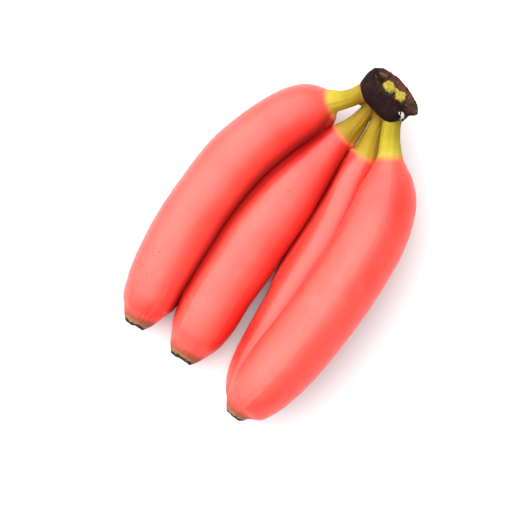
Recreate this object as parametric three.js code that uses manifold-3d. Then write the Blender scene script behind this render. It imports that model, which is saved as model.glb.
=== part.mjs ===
// A hand of four red bananas joined at one cut crown, lying on a table, in millimetres.
// +Y runs from the blossom ends to the crown, +X across the hand, +Z up; the table is z = 0.
import * as THREE from "three";
import { mergeVertices } from "three/addons/utils/BufferGeometryUtils.js";
import Module from "manifold-3d";

const wasm = await Module();
wasm.setup();

// ---- Driving dimensions ----

// Each finger is one fruit with its stalk. "line" is the middle line from the blossom end to the root
// in the crown, as [x, y, z]. "girth" is [distance from the blossom end, radius] along that line,
// and "root" is the radius where the stalk ends in the crown. "turn" turns its ridges, in degrees.
const FINGERS = [
  {
    name: "finger_1",
    line: [
      [-34.2, -94.2, 17.6],
      [-35.3, -86.2, 17.2],
      [-36.6, -79.9, 17.0],
      [-37.7, -72.0, 16.9],
      [-39.2, -65.5, 16.9],
      [-43.1, -41.9, 17.2],
      [-45.0, -13.5, 17.4],
      [-43.4, 17.3, 17.7],
      [-34.1, 49.6, 19.2],
      [-21.7, 69.2, 25.3],
      [-15.9, 74.8, 30.2],
      [-8.1, 85.5, 38.6],
    ],
    girth: [
      [0, 5.8],
      [3.2, 8.0],
      [8, 10.8],
      [14, 13.8],
      [20, 15.6],
      [32, 17.0],
      [45, 17.6],
      [58, 18.0],
      [75, 18.0],
      [100, 18.1],
      [113, 18.1],
      [122, 17.8],
      [132, 17.5],
      [148, 16.6],
      [158, 14.8],
      [164, 12.1],
      [168, 9.2],
      [172, 6.5],
      [180, 5.0],
    ],
    root: 4.7,
    turn: 20,
  },
  {
    name: "finger_2",
    line: [
      [-2.3, -93.3, 18.5],
      [-3.4, -79.6, 18.0],
      [-5.2, -65.0, 17.6],
      [-6.9, -49.5, 17.2],
      [-7.6, -32.5, 17.4],
      [-9.0, -13.9, 17.5],
      [-8.5, 16.4, 17.6],
      [-7.3, 34.9, 19.0],
      [-5.9, 55.0, 22.4],
      [-4.0, 64.3, 25.6],
      [-2.5, 74.4, 29.4],
      [-2.5, 87.6, 35.1],
    ],
    girth: [
      [0, 6.7],
      [3, 8.7],
      [6, 10.4],
      [14, 14.3],
      [20, 16.0],
      [30, 17.4],
      [46, 17.5],
      [61, 17.8],
      [80, 18.0],
      [95, 17.5],
      [110, 16.4],
      [129, 13.2],
      [147, 9.2],
      [154, 7.2],
      [161, 5.4],
      [171, 4.3],
    ],
    root: 3.9,
    turn: 5,
  },
  {
    name: "finger_3",
    line: [
      [36.9, -95.6, 12.8],
      [34.4, -86.5, 12.4],
      [32.6, -76.0, 12.3],
      [31.0, -66.9, 12.4],
      [28.6, -47.9, 12.8],
      [26.8, -31.2, 13.2],
      [25.0, -12.7, 13.5],
      [23.2, 6.9, 14.6],
      [19.2, 25.4, 17.2],
      [13.7, 43.6, 21.4],
      [11.8, 57.9, 25.8],
      [9.3, 65.5, 28.2],
      [6.3, 74.8, 31.2],
      [4.2, 87.1, 34.7],
    ],
    girth: [
      [0, 4.8],
      [3.4, 6.4],
      [8, 8.7],
      [14, 10.9],
      [24, 12.3],
      [49, 13.1],
      [67, 13.4],
      [87, 13.7],
      [104, 13.5],
      [123, 12.2],
      [142, 9.8],
      [155, 7.2],
      [163, 5.4],
      [173, 4.5],
    ],
    root: 3.7,
    turn: 40,
  },
  {
    name: "finger_4",
    line: [
      [39.8, -99.1, 31.0],
      [39.6, -94.0, 32.0],
      [41.0, -85.3, 33.2],
      [43.0, -69.6, 34.6],
      [44.5, -43.2, 35.6],
      [44.6, -16.0, 36.2],
      [42.9, 10.6, 36.5],
      [40.9, 24.4, 36.7],
      [37.2, 38.3, 37.0],
      [31.2, 50.7, 37.6],
      [22.7, 63.3, 38.5],
      [16.7, 71.1, 39.5],
      [11.3, 80.0, 39.6],
      [8.6, 85.0, 38.6],
    ],
    girth: [
      [0, 5.6],
      [3.6, 7.8],
      [7.2, 10.9],
      [11, 13.5],
      [20, 16.1],
      [31, 17.6],
      [43, 18.5],
      [84, 18.9],
      [111, 18.7],
      [125, 18.4],
      [139, 17.3],
      [148, 15.8],
      [156, 13.0],
      [162, 9.8],
      [168, 7.0],
      [177, 5.5],
    ],
    root: 4.7,
    turn: 0,
  },
];

const FACETS_ROUND = 24;
const RINGS_PER_STEP = 2; // rings of facets between two girth values
const LINE_STEPS = 300; // frames along a middle line
const RIDGE_COUNT = 5;
const RIDGE_SHARE = 0.022; // height of a skin ridge, as a share of the radius
const STALK_RADIUS = 5.5; // ridges fade out towards this radius
const SCAR_DEPTH = 1.2; // how far the blossom scar is sunk in the end
const SCAR_RIM = 0.9; // width of the rim round that scar
const TOUCH_GAP = 0.3; // left between pieces that lie against each other
const TABLE = { size: 400, depth: 40 };

// The crown is the cushion of stem that the four stalks grow from, cut off slantwise.
const CROWN = {
  centre: [1.1, 89.7, 40],
  halfWidth: 15.9,
  halfHeight: 9.6,
  turn: -6, // degrees about Z
  tilt: 28, // degrees that its cut face looks up
  // [distance along its axis, share of the half width], from the stalk side to the lip of the cut
  outline: [
    [-10.4, 0.62],
    [-9.0, 0.84],
    [-6.2, 0.97],
    [-0.5, 1.0],
    [3.4, 0.98],
    [5.6, 0.93],
  ],
  // the same, from the lip down into the hollow of the cut
  hollow: [
    [5.9, 0.84],
    [3.6, 0.72],
    [2.2, 0.4],
  ],
  swell: 0.6, // the stalk side bulges by this at its middle
  dish: 0.3, // and the bottom of the hollow is lower by this
  skew: 0.8, // the stalk side stands back by this at its -X end, and out at its +X end
  lipDepth: 5, // the slant and the ear below grow over this depth under the lip
  slant: 0.17, // the lower lip stands out further by this share of the height
  ear: { turn: 14, width: 20, reach: 0.27 }, // the torn corner of the lip, as degrees and share
};
const CROWN_FACETS = 40;

const RED_SKIN = { color: 0xf2564c, roughness: 0.45, metalness: 0 };
const CROWN_SKIN = { color: 0x33201f, roughness: 0.8, metalness: 0 };

// ---- Solids ----

function solidOf(geometry) {
  const bare = geometry.clone();
  bare.deleteAttribute("normal");
  bare.deleteAttribute("uv");
  const merged = mergeVertices(bare, 1e-4);
  const triVerts = [];
  for (let i = 0; i < merged.index.count; i += 3) {
    const corners = [0, 1, 2].map((k) => merged.index.getX(i + k));
    if (new Set(corners).size === 3) triVerts.push(...corners);
  }
  return new wasm.Manifold(
    new wasm.Mesh({
      numProp: 3,
      vertProperties: merged.attributes.position.array,
      triVerts: new Uint32Array(triVerts),
    }),
  );
}

function meshOf(solid, name, look) {
  const { vertProperties, triVerts } = solid.getMesh();
  const geometry = new THREE.BufferGeometry();
  geometry.setAttribute("position", new THREE.BufferAttribute(vertProperties, 3));
  geometry.setIndex(new THREE.BufferAttribute(triVerts, 1));
  geometry.computeVertexNormals();
  const mesh = new THREE.Mesh(geometry, new THREE.MeshStandardMaterial(look));
  mesh.name = name;
  return mesh;
}

// ---- Fingers ----

function middleLine({ line }) {
  const curve = new THREE.CatmullRomCurve3(line.map((point) => new THREE.Vector3(...point)));
  curve.arcLengthDivisions = 600;
  return curve;
}

// The straight finger stands on its blossom end along +Y: sunken scar, rim, flank, then the flat root.
function straightFinger(finger, length, grow) {
  const knots = [...finger.girth, [length, finger.root]];
  const flank = new THREE.SplineCurve(
    knots.map(([along, radius]) => new THREE.Vector2(radius + grow, along)),
  );
  const [, endRadius] = finger.girth[0];
  const profile = [
    new THREE.Vector2(0, SCAR_DEPTH - grow),
    new THREE.Vector2(endRadius - SCAR_RIM, SCAR_DEPTH - grow),
    ...flank.getPoints((knots.length - 1) * RINGS_PER_STEP),
    new THREE.Vector2(finger.root + grow, length + grow),
    new THREE.Vector2(0, length + grow),
  ];
  return new THREE.LatheGeometry(profile, FACETS_ROUND);
}

function raiseRidges(geometry, turn) {
  const position = geometry.attributes.position;
  const phase = THREE.MathUtils.degToRad(turn);
  for (let i = 0; i < position.count; i += 1) {
    const x = position.getX(i);
    const z = position.getZ(i);
    const body = THREE.MathUtils.smoothstep(Math.hypot(x, z), STALK_RADIUS, 2 * STALK_RADIUS);
    const around = Math.atan2(x, z) + phase;
    const swell = 1 + RIDGE_SHARE * body * Math.cos(RIDGE_COUNT * around);
    position.setX(i, x * swell);
    position.setZ(i, z * swell);
  }
}

// Frames carried along the line without twist, one at each of its steps.
function framesAlong(curve) {
  const frames = [];
  let out = new THREE.Vector3(1, 0, 0);
  for (let i = 0; i <= LINE_STEPS; i += 1) {
    const along = curve.getTangentAt(i / LINE_STEPS);
    out = out.clone().addScaledVector(along, -out.dot(along)).normalize();
    const up = new THREE.Vector3().crossVectors(out, along);
    frames.push({ point: curve.getPointAt(i / LINE_STEPS), along, out, up });
  }
  return frames;
}

// Carries a straight finger's points from its axis to the middle line; past an end they go straight on.
function bendAlong(geometry, curve, length) {
  const frames = framesAlong(curve);
  const position = geometry.attributes.position;
  for (let i = 0; i < position.count; i += 1) {
    const y = position.getY(i);
    const step = THREE.MathUtils.clamp(y / length, 0, 1) * LINE_STEPS;
    const low = frames[Math.floor(step)];
    const high = frames[Math.ceil(step)];
    const mix = step - Math.floor(step);
    const out = low.out.clone().lerp(high.out, mix).normalize();
    const up = low.up.clone().lerp(high.up, mix).normalize();
    const place = low.point.clone().lerp(high.point, mix);
    place.addScaledVector(low.along, y - THREE.MathUtils.clamp(y, 0, length));
    place.addScaledVector(out, position.getX(i)).addScaledVector(up, position.getZ(i));
    position.setXYZ(i, place.x, place.y, place.z);
  }
}

function fingerSolid(finger, grow = 0) {
  const curve = middleLine(finger);
  const length = curve.getLength();
  const geometry = straightFinger(finger, length, grow);
  raiseRidges(geometry, finger.turn);
  bendAlong(geometry, curve, length);
  return solidOf(geometry);
}

function tableSolid() {
  const slab = new THREE.BoxGeometry(TABLE.size, TABLE.size, TABLE.depth);
  slab.translate(0, 0, -TABLE.depth / 2);
  return solidOf(slab);
}

// ---- Crown ----

function cushionGeometry() {
  const knots = [...CROWN.outline, ...CROWN.hollow];
  const first = knots[0];
  const last = knots[knots.length - 1];
  const profile = [
    new THREE.Vector2(0, first[0] - CROWN.swell),
    ...knots.map(([along, share]) => new THREE.Vector2(share, along)),
    new THREE.Vector2(0, last[0] - CROWN.dish),
  ];
  const cushion = new THREE.LatheGeometry(profile, CROWN_FACETS);
  tearLip(cushion);
  cushion.scale(CROWN.halfWidth, 1, CROWN.halfHeight);
  return cushion;
}

// Draws the ear out of the round lip, pushes the lower lip out past the upper one, and sets the
// stalk side askew.
function tearLip(cushion) {
  const { turn, width, reach } = CROWN.ear;
  const position = cushion.attributes.position;
  for (let i = 0; i < position.count; i += 1) {
    const x = position.getX(i);
    const along = position.getY(i);
    const z = position.getZ(i);
    const lip = THREE.MathUtils.smoothstep(along, 0, CROWN.lipDepth);
    const aside = (THREE.MathUtils.radToDeg(Math.atan2(z, x)) - turn) / width;
    const drawn = 1 + reach * lip * Math.exp(-aside * aside);
    const pushed = lip * CROWN.slant * CROWN.halfHeight * z + (1 - lip) * CROWN.skew * x;
    position.setXYZ(i, x * drawn, along - pushed, z * drawn);
  }
}

function crownSolid() {
  const cushion = cushionGeometry();
  cushion.rotateX(THREE.MathUtils.degToRad(CROWN.tilt));
  cushion.rotateZ(THREE.MathUtils.degToRad(CROWN.turn));
  cushion.translate(...CROWN.centre);
  return solidOf(cushion);
}

// ---- The hand ----

const hand = new THREE.Group();
const table = tableSolid();
const whole = FINGERS.map((finger) => fingerSolid(finger));
const enlarged = FINGERS.map((finger) => fingerSolid(finger, TOUCH_GAP));

// Where two fingers lie against each other, the one named first here is flattened by the other.
const FLATTENED_BY = [
  [1, 0],
  [2, 1],
  [2, 3],
];
for (const [soft, hard] of FLATTENED_BY) whole[soft] = whole[soft].subtract(enlarged[hard]);

FINGERS.forEach(({ name }, i) => hand.add(meshOf(whole[i].subtract(table), name, RED_SKIN)));

const crown = enlarged.reduce((solid, finger) => solid.subtract(finger), crownSolid());
hand.add(meshOf(crown, "crown", CROWN_SKIN));

export default hand;
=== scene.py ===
import bpy
import math
import numpy as np
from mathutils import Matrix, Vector, noise
from mathutils.kdtree import KDTree


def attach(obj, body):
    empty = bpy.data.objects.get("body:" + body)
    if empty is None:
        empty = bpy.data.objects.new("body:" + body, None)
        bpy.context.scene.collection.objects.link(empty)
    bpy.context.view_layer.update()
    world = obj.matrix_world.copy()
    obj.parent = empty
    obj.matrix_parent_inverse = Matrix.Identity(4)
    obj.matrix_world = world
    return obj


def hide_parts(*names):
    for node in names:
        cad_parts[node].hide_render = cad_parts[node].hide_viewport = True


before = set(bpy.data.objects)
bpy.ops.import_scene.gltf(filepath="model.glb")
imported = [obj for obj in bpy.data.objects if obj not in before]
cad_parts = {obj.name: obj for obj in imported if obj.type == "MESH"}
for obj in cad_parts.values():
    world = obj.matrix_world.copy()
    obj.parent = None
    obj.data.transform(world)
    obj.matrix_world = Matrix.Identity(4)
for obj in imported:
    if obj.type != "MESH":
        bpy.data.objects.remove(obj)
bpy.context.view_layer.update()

# ----------------------------------------------------------------------
# The four fingers. Each is one fruit with a thick leathery skin, coral red over five soft ridges,
# that ends in a woody ring where the flower sat and narrows to a yellow stalk at the other end.
# They grew side by side, so the second and third are pressed in where a neighbour lies on them.

MM = 0.001
TABLE_HEIGHT = 0.0

# "line": middle line from the blossom end to the root in the crown, mm. "girth": [distance from
# the blossom end, radius], mm. "root": radius in the crown. "turn": turns the ridges, degrees.
# "yellow": distance from the blossom end at which the red skin gives way to the yellow stalk, mm.
FINGERS = {
    "finger_1": dict(
        line=[(-34.2, -94.2, 17.6), (-35.3, -86.2, 17.2), (-36.6, -79.9, 17.0), (-37.7, -72.0, 16.9),
              (-39.2, -65.5, 16.9), (-43.1, -41.9, 17.2), (-45.0, -13.5, 17.4), (-43.4, 17.3, 17.7),
              (-34.1, 49.6, 19.2), (-21.7, 69.2, 25.3), (-15.9, 74.8, 30.2), (-8.1, 85.5, 38.6)],
        girth=[(0, 5.8), (3.2, 8.0), (8, 10.8), (14, 13.8), (20, 15.6), (32, 17.0), (45, 17.6),
               (58, 18.0), (75, 18.0), (100, 18.1), (113, 18.1), (122, 17.8), (132, 17.5), (148, 16.6),
               (158, 14.8), (164, 12.1), (168, 9.2), (172, 6.5), (180, 5.0)],
        root=4.7, turn=46, yellow=170.4),
    "finger_2": dict(
        line=[(-2.3, -93.3, 18.5), (-3.4, -79.6, 18.0), (-5.2, -65.0, 17.6), (-6.9, -49.5, 17.2),
              (-7.6, -32.5, 17.4), (-9.0, -13.9, 17.5), (-8.5, 16.4, 17.6), (-7.3, 34.9, 19.0),
              (-5.9, 55.0, 22.4), (-4.0, 64.3, 25.6), (-2.5, 74.4, 29.4), (-2.5, 87.6, 35.1)],
        girth=[(0, 6.7), (3, 8.7), (6, 10.4), (14, 14.3), (20, 16.0), (30, 17.4), (46, 17.5),
               (61, 17.8), (80, 18.0), (95, 17.5), (110, 16.4), (129, 13.2), (147, 9.2), (154, 7.2),
               (161, 5.4), (171, 4.3)],
        root=3.9, turn=36, yellow=154.0),
    "finger_3": dict(
        line=[(36.9, -95.6, 12.8), (34.4, -86.5, 12.4), (32.6, -76.0, 12.3), (31.0, -66.9, 12.4),
              (28.6, -47.9, 12.8), (26.8, -31.2, 13.2), (25.0, -12.7, 13.5), (23.2, 6.9, 14.6),
              (19.2, 25.4, 17.2), (13.7, 43.6, 21.4), (11.8, 57.9, 25.8), (9.3, 65.5, 28.2),
              (6.3, 74.8, 31.2), (4.2, 87.1, 34.7)],
        girth=[(0, 4.8), (3.4, 6.4), (8, 8.7), (14, 10.9), (24, 12.3), (49, 13.1), (67, 13.4),
               (87, 13.7), (104, 13.5), (123, 12.2), (142, 9.8), (155, 7.2), (163, 5.4), (173, 4.5)],
        root=3.7, turn=40, yellow=156.3),
    "finger_4": dict(
        line=[(39.8, -99.1, 31.0), (39.6, -94.0, 32.0), (41.0, -85.3, 33.2), (43.0, -69.6, 34.6),
              (44.5, -43.2, 35.6), (44.6, -16.0, 36.2), (42.9, 10.6, 36.5), (40.9, 24.4, 36.7),
              (37.2, 38.3, 37.0), (31.2, 50.7, 37.6), (22.7, 63.3, 38.5), (16.7, 71.1, 39.5),
              (11.3, 80.0, 39.6), (8.6, 85.0, 38.6)],
        girth=[(0, 5.6), (3.6, 7.8), (7.2, 10.9), (11, 13.5), (20, 16.1), (31, 17.6), (43, 18.5),
               (84, 18.9), (111, 18.7), (125, 18.4), (139, 17.3), (148, 15.8), (156, 13.0), (162, 9.8),
               (168, 7.0), (177, 5.5)],
        root=4.7, turn=0, yellow=167.3),
}
# How olive each stalk is, from 0, golden, to 1; on the second and third stalks, which lie in the others'
# shade, this is partly painted shade.
OLIVE_AND_SHADE_SHARE = {"finger_1": 0.15, "finger_2": 0.85, "finger_3": 0.55, "finger_4": 0.1}
PRESSED_BY = {"finger_2": ["finger_1"], "finger_3": ["finger_2", "finger_4"]}
# Painted shade: where two fingers lie on each other, the skin is painted a dark, deep red that stands in
# for the shade between them. For each finger and neighbour: how far that reaches at each of the stations,
# mm, and how strong it is.
PAINTED_SHADE_REACH = {
    "finger_1": {"finger_2": ((7.0, 10.0, 14.0), 1.0)},
    "finger_2": {"finger_1": ((6.5, 9.5, 14.0), 1.0), "finger_3": ((22.0, 15.0, 11.0), 1.0)},
    "finger_3": {"finger_2": ((1.0, 3.2, 4.5), 1.0), "finger_4": ((6.0, 6.0, 6.0), 0.4)},
    "finger_4": {"finger_3": ((5.0, 5.0, 5.0), 0.4)},
}
SHADE_STATIONS = (-70.0, 0.0, 60.0)     # y, mm: near the blossom ends, the middle, the stalks
SHADE_CURVE = 1.75          # above 1 the painted shade holds longer and then ends sooner
FINGER_COLUMNS = 128        # mesh columns round a finger
RINGS_PER_STEP = 10         # mesh rings between two girth values
LINE_STEPS = 600            # frames along a middle line
LINE_SKIP = 4               # frames passed over at each step of the search for a neighbour
RIDGES = 5
RIDGE_SHARE = 0.016         # height of a soft ridge, as a share of the radius
STALK_RADIUS = 5.5          # mm, ridges fade out towards this radius
STALK_GROOVES = 11
STALK_GROOVE_DEPTH = 0.07   # mm
CREST_HEIGHT = 0.12         # mm, the fine crest along each ridge
CREST_WIDTH = 0.035         # radians
CREST_TIP = (30, 80)        # mm from the blossom end over which the crest sinks
CREST_NECK = (45, 15)       # mm short of the yellow over which it rises again
LUMP_HEIGHT = 0.25          # mm, slow unevenness of the skin
LUMP_SIZE = 26.0            # mm
PUCKER_HEIGHT = 0.10        # mm, the skin's creases round the blossom ring
PUCKER_COUNT = 17
SCAR_DEPTH = 1.2            # mm
SCAR_RIM = 0.9              # mm
SKIN_EDGE = 0.45            # mm, the rounding of the skin's edge round the scar
RAGGED_SHARE = 0.025        # how far that edge runs in and out, as a share of its radius
RAGGED_DEPTH = 0.25         # mm it runs forward and back
CLOSED = 0.01               # mm, the radius of the last ring at either end
TOUCH_GAP = 0.12            # mm
LEAN_PRESS = 0.5            # mm that leaning skin is pressed in
TIP_GAP = (-46.0, -26.0)    # y, mm: the third finger stands off the second below this stretch
STALK_MARGIN = 4            # mm of the red neck that counts with the stalk
CROWDED = (0.8, 3.6)        # mm between two stalks: darkest brown at the first, plain from the second
STALK_SKIN_FROM = 1.0       # mm past the red, where the glossy peel gives way to the dull stalk
SCAR_SKIN_TO = 0.5          # mm from the blossom end

# Where the skin was rubbed or bitten: place, mm, and the size of the patch of specks.
BLEMISHES = [((-48, -56, 32), 5.0), ((-47, -66, 31), 4.5), ((-13, -34, 34), 3.0), ((-9, 17, 35), 3.0),
             ((57, -26, 50), 2.5), ((38, 30, 54), 3.0), ((-44, 40, 33), 3.0), ((-20, -70, 30), 2.5)]
# Painted shade: patches of deeper red where the skin lies in shade: place, mm, and the size of the patch.
SHADE_PATCHES = [((35, 43, 52), 12.0), ((-29, 50, 36), 11.0), ((-33, 40, 35), 11.0), ((-7, 51, 30), 12.0),
                ((-11, 38, 32), 12.0), ((14, -61, 20), 13.0), ((12, -73, 18), 12.0), ((-31, -84, 26), 9.0)]


def smoothstep(value, low, high):
    """0 up to low, 1 from high on, eased between."""
    share = np.clip((value - low) / (high - low), 0.0, 1.0)
    return share * share * (3.0 - 2.0 * share)


def curve_between(start, end, leave, arrive, t):
    """The point a share t of the way from start to end, leaving and arriving at these slopes."""
    return (start * (2 * t**3 - 3 * t**2 + 1) + leave * (t**3 - 2 * t**2 + t)
            + end * (3 * t**2 - 2 * t**3) + arrive * (t**3 - t**2))


def unit(vectors):
    """The vectors, each made 1 long."""
    return vectors / np.linalg.norm(vectors, axis=-1, keepdims=True)


def bent_line(points, steps):
    """A smooth line through the points, cut into equal steps, with frames carried along it."""
    knots = [np.array(point, float) for point in points]
    path = [2 * knots[0] - knots[1], *knots, 2 * knots[-1] - knots[-2]]
    dense = []
    for before, start, end, after in zip(path, path[1:], path[2:], path[3:]):
        gap_0 = np.linalg.norm(start - before) ** 0.5
        gap_1 = np.linalg.norm(end - start) ** 0.5
        gap_2 = np.linalg.norm(after - end) ** 0.5
        leave = (start - before) / gap_0 - (end - before) / (gap_0 + gap_1) + (end - start) / gap_1
        arrive = (end - start) / gap_1 - (after - start) / (gap_1 + gap_2) + (after - end) / gap_2
        for t in np.linspace(0, 1, 60, endpoint=False):
            dense.append(curve_between(start, end, leave * gap_1, arrive * gap_1, t))
    dense.append(knots[-1])
    dense = np.array(dense)
    reached = np.r_[0, np.cumsum(np.linalg.norm(np.diff(dense, axis=0), axis=1))]
    marks = np.linspace(0, reached[-1], steps + 1)
    spots = np.stack([np.interp(marks, reached, dense[:, k]) for k in range(3)], axis=1)
    along = unit(np.gradient(spots, axis=0))
    out = np.zeros_like(along)
    carried = np.array([1.0, 0.0, 0.0])
    for i, direction in enumerate(along):
        carried = carried - direction * carried.dot(direction)
        carried /= np.linalg.norm(carried)
        out[i] = carried
    return dict(length=reached[-1], spots=spots, along=along, out=out, up=np.cross(out, along))


def curve_through(knots, per_step):
    """Points on a smooth curve through the knots, per_step of them between each two."""
    padded = np.vstack([knots[0], knots, knots[-1]])
    points = []
    for before, start, end, after in zip(padded, padded[1:], padded[2:], padded[3:]):
        for t in np.linspace(0, 1, per_step, endpoint=False):
            points.append(curve_between(start, end, 0.5 * (end - before), 0.5 * (after - start), t))
    points.append(knots[-1])
    return np.array(points)


def ridge_phase(angle, turn):
    """Angle from the nearest ridge crest, radians."""
    pitch = 2 * math.pi / RIDGES
    return (angle + math.radians(turn) + pitch / 2) % pitch - pitch / 2


def fullness(radius):
    """0 on the slim stalk, 1 on the full fruit."""
    return smoothstep(radius, STALK_RADIUS, 2 * STALK_RADIUS)


def skin_radius(radius, angle, turn):
    """Radius of the ridged skin at an angle round the finger."""
    return radius * (1 + RIDGE_SHARE * fullness(radius) * np.cos(RIDGES * (angle + math.radians(turn))))


def slow_noise(points, size, seed):
    """Smooth random values around 0, in waves of about this size."""
    return np.array([noise.noise(Vector(point / size) + Vector((seed * 7.3, 0, 0))) for point in points])


def grid_faces(rows, columns):
    """Quads of a grid of points that closes on itself round its columns."""
    row, column = np.meshgrid(np.arange(rows - 1), np.arange(columns), indexing="ij")
    beside = (column + 1) % columns
    quads = [row * columns + column, row * columns + beside,
             (row + 1) * columns + beside, (row + 1) * columns + column]
    return np.stack(quads, axis=-1).reshape(-1, 4)


def scar_profile(end_radius):
    """[distance, radius], mm, of the sunken scar, from its middle out to the edge of the skin."""
    return np.array([(SCAR_DEPTH + 0.25, CLOSED), (SCAR_DEPTH + 0.2, end_radius * 0.2),
                     (SCAR_DEPTH, end_radius * 0.5), (SCAR_DEPTH * 0.85, end_radius - SCAR_RIM * 1.9),
                     (SCAR_DEPTH * 0.5, end_radius - SCAR_RIM * 1.5), (0.1, end_radius - 1.05),
                     (-0.1, end_radius - 0.75)])


def skin_width(plan, seed, far, turned, bare):
    """Radius of the skin with its ridges, crests, creases and grooves, and of the crests alone."""
    body = fullness(bare)
    crest = np.exp(-(ridge_phase(turned, plan["turn"]) / CREST_WIDTH) ** 2)
    near_tip = 1 - smoothstep(far, *CREST_TIP)
    near_neck = smoothstep(far, *(plan["yellow"] - np.array(CREST_NECK)))
    crest_height = CREST_HEIGHT * body * (0.2 + 0.6 * np.maximum(near_tip, near_neck))
    wide = skin_radius(bare, turned, plan["turn"]) + crest_height * crest
    pucker = smoothstep(far, 0.3, 2.5) * (1 - smoothstep(far, 4, 11))
    wide += PUCKER_HEIGHT * pucker * np.cos(PUCKER_COUNT * turned + 3 * np.sin(2 * turned + seed))
    groove = STALK_GROOVE_DEPTH * np.sin(STALK_GROOVES * turned + 2 * np.sin(far / 9 + seed))
    on_neck = far > plan["yellow"] - 20
    return wide, (1 - body) * groove * on_neck, crest * body


def grow_finger(plan, seed):
    """The skin of one finger, mm, with the distances that its colours need."""
    line = bent_line(plan["line"], LINE_STEPS)
    end_radius = plan["girth"][0][1]
    edge = [(0, end_radius - SKIN_EDGE), (SKIN_EDGE, end_radius + 0.1)]
    knots = [*edge, *plan["girth"][1:], (line["length"], plan["root"])]
    flank = curve_through(np.array(knots, float), RINGS_PER_STEP)
    scar = scar_profile(end_radius)
    root = np.array([(line["length"], plan["root"] * 0.5), (line["length"], CLOSED)])
    distance, radius = np.vstack([scar, flank, root]).T
    angle = np.linspace(0, 2 * math.pi, FINGER_COLUMNS, endpoint=False)
    far, turned = [part.ravel() for part in np.meshgrid(distance, angle, indexing="ij")]
    bare = np.repeat(radius, FINGER_COLUMNS)
    wide, grooves, crest = skin_width(plan, seed, far, turned, bare)
    at_end = 1 - smoothstep(far, 0.4, 2.0)
    ragged = at_end * (np.sin(3 * turned + seed) + 0.6 * np.sin(7 * turned + 2 * seed))
    wide = wide * (1 + RAGGED_SHARE * ragged) + grooves
    step = np.clip(far / line["length"], 0, 1) * LINE_STEPS
    low = np.floor(step).astype(int)
    high = np.minimum(low + 1, LINE_STEPS)
    mix = (step - low)[:, None]
    frames = {}
    for key in ("spots", "along", "out", "up"):
        frames[key] = line[key][low] * (1 - mix) + line[key][high] * mix
    outward = frames["out"] * np.sin(turned)[:, None] + frames["up"] * np.cos(turned)[:, None]
    past_end = (far - np.clip(far, 0, line["length"])) + RAGGED_DEPTH * ragged
    verts = frames["spots"] + frames["along"] * past_end[:, None] + outward * wide[:, None]
    lumps = slow_noise(verts, LUMP_SIZE, seed) + 0.3 * slow_noise(verts, LUMP_SIZE / 4, seed)
    verts += outward * (LUMP_HEIGHT * lumps * fullness(bare))[:, None]
    in_scar = np.repeat(np.arange(len(distance)) < len(scar) - 1, FINGER_COLUMNS).astype(float)
    straight = np.stack([wide * np.sin(turned), far, wide * np.cos(turned) + 60.0 * seed], axis=1)
    return dict(verts=verts, faces=grid_faces(len(distance), FINGER_COLUMNS), reach=far, crest=crest,
                past_red=far - plan["yellow"], straight=straight, in_scar=in_scar, line=line, flank=flank,
                outward=outward, turn=plan["turn"])


def place_by(verts, other):
    """Distance from the other finger's middle line, the way out from it, and its skin's radius there."""
    line = other["line"]
    gaps = np.linalg.norm(verts[:, None, :] - line["spots"][None, ::LINE_SKIP, :], axis=2)
    near = gaps.argmin(axis=1) * LINE_SKIP
    away = verts - line["spots"][near]
    away -= line["along"][near] * np.sum(away * line["along"][near], axis=1)[:, None]
    gap = np.linalg.norm(away, axis=1)
    angle = np.arctan2(np.sum(away * line["out"][near], axis=1), np.sum(away * line["up"][near], axis=1))
    radius = np.interp(near / LINE_STEPS * line["length"], *other["flank"].T)
    wall = skin_radius(radius, angle, other["turn"]) + TOUCH_GAP
    beside = (near > 2) & (near < LINE_STEPS - 2)
    return gap, away / np.maximum(gap, 1e-6)[:, None], wall, beside


def press_in(finger, other):
    """Moves skin that would lie inside the other finger out to that finger's surface."""
    gap, away, wall, beside = place_by(finger["verts"], other)
    inside = (gap < wall) & beside
    finger["verts"][inside] += away[inside] * (wall - gap)[inside, None]


def lean_on(finger, other, start, full, widest, past_red, fade=2.0, most=1.0):
    """Swells the flank that faces the other finger until they touch, from y = start to full, mm.

    It closes gaps narrower than widest mm, and fades out at past_red mm from where the skin turns yellow.
    """
    verts = finger["verts"]
    gap, away, wall, beside = place_by(verts, other)
    open_gap = gap - wall
    facing = -np.sum(away * finger["outward"], axis=1)
    share = most * smoothstep(facing, 0.62, 0.93) * (1 - smoothstep(open_gap, 0.55 * widest, widest))
    share *= smoothstep(verts[:, 1], start, full)
    share *= 1 - smoothstep(finger["past_red"], past_red - fade, past_red + fade)
    share *= beside & (open_gap > 0)
    finger["verts"] = verts - away * ((open_gap + LEAN_PRESS) * share)[:, None]


def put_marks(mesh, marks):
    """Stores one number or one place for each point of the mesh under each mark's name."""
    for name, values in marks.items():
        if values.ndim == 1:
            mesh.attributes.new(name, "FLOAT", "POINT").data.foreach_set("value", values)
        else:
            mesh.attributes.new(name, "FLOAT_VECTOR", "POINT").data.foreach_set("vector", values.ravel())


def make_piece(name, verts, faces, marks):
    """A smooth-shaded mesh from points in mm."""
    mesh = bpy.data.meshes.new(name)
    mesh.from_pydata((verts * MM).tolist(), [], [list(face) for face in faces])
    put_marks(mesh, marks)
    mesh.shade_smooth()
    piece = bpy.data.objects.new(name, mesh)
    bpy.context.collection.objects.link(piece)
    return piece


def stalk_points(finger):
    """The points of a stalk, in a tree that finds the nearest."""
    part = np.flatnonzero(finger["past_red"] > -STALK_MARGIN)
    tree = KDTree(len(part))
    for i in part:
        tree.insert(finger["verts"][i], int(i))
    tree.balance()
    return tree


def crowded_mark(verts, among):
    """1 where a neighbouring stalk is near, falling to 0 further away; the skin is painted darker brown
    there.
    """
    gaps = np.array([min(tree.find(vert)[2] for tree in among) for vert in verts])
    return 1 - smoothstep(gaps, *CROWDED)


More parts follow.
